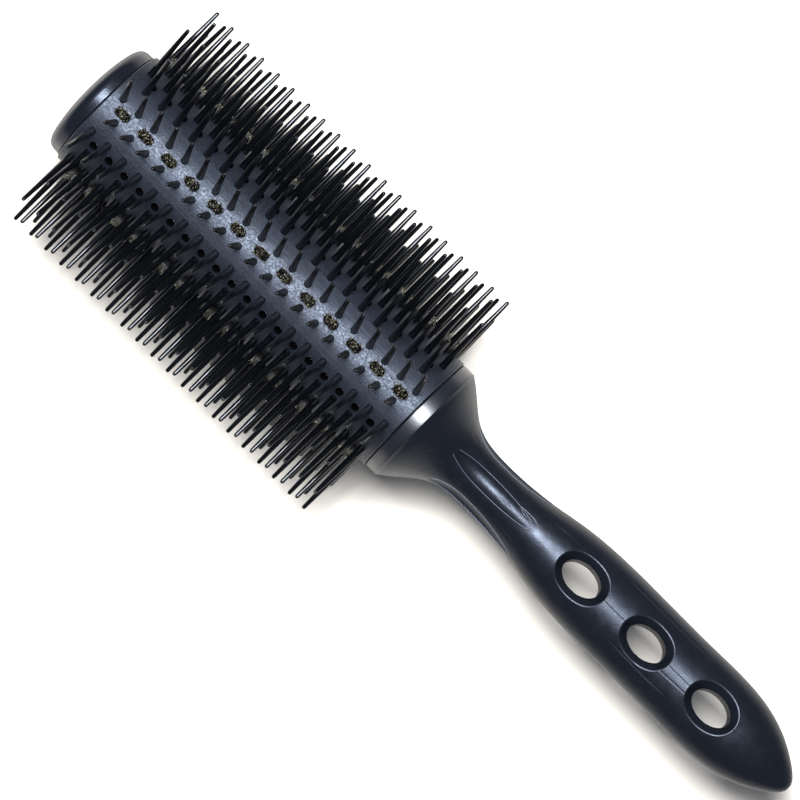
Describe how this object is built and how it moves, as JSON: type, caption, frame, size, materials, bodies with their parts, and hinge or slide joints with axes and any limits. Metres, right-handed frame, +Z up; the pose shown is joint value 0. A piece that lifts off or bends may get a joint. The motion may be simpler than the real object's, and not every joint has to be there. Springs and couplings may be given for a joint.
{
  "type": "vented round hair brush",
  "caption": "Round blow-dry hair brush: vented barrel with rows of pins and bristle tufts, domed end cap and a flat oval handle with through-holes.",
  "frame": {"origin": "under the middle of the brush at the level of its lowest pin tips, as it lies on a table", "axes": "+X along the brush from the end cap to the handle tip, +Y across it, +Z up through the first bristle row and the grip holes"},
  "size_m": [0.2496, 0.0732, 0.0731],
  "materials": {
    "barrel_plastic": "satin heat-resistant nylon",
    "cap_plastic": "satin moulded plastic",
    "handle_plastic": "satin moulded plastic",
    "pin_nylon": "smooth nylon",
    "bristle_fibre": "cut bristle",
    "anchor_metal": "plain",
    "core_plastic": "moulded plastic",
    "screw_steel": "zinc plated"
  },
  "bodies": {
    "root": {"barrel": "barrel_plastic", "end_cap": "cap_plastic", "handle": "handle_plastic", "pin_row_01": "pin_nylon", "pin_row_02": "pin_nylon", "pin_row_03": "pin_nylon", "pin_row_04": "pin_nylon", "pin_row_05": "pin_nylon", "pin_row_06": "pin_nylon", "pin_row_07": "pin_nylon", "pin_row_08": "pin_nylon", "pin_row_09": "pin_nylon", "pin_row_10": "pin_nylon", "pin_row_11": "pin_nylon", "pin_row_12": "pin_nylon", "pin_row_13": "pin_nylon", "pin_row_14": "pin_nylon", "pin_row_15": "pin_nylon", "pin_row_16": "pin_nylon", "pin_row_17": "pin_nylon", "pin_row_18": "pin_nylon", "pin_row_19": "pin_nylon", "pin_row_20": "pin_nylon", "bristle_row_1": "bristle_fibre", "bristle_row_2": "bristle_fibre", "bristle_row_3": "bristle_fibre", "bristle_row_4": "bristle_fibre", "bristle_row_5": "bristle_fibre", "tuft_anchors_1": "anchor_metal", "tuft_anchors_2": "anchor_metal", "tuft_anchors_3": "anchor_metal", "tuft_anchors_4": "anchor_metal", "tuft_anchors_5": "anchor_metal", "core_tube": "core_plastic", "core_screw": "screw_steel", "core_washer": "screw_steel"}
  },
  "joints": []
}
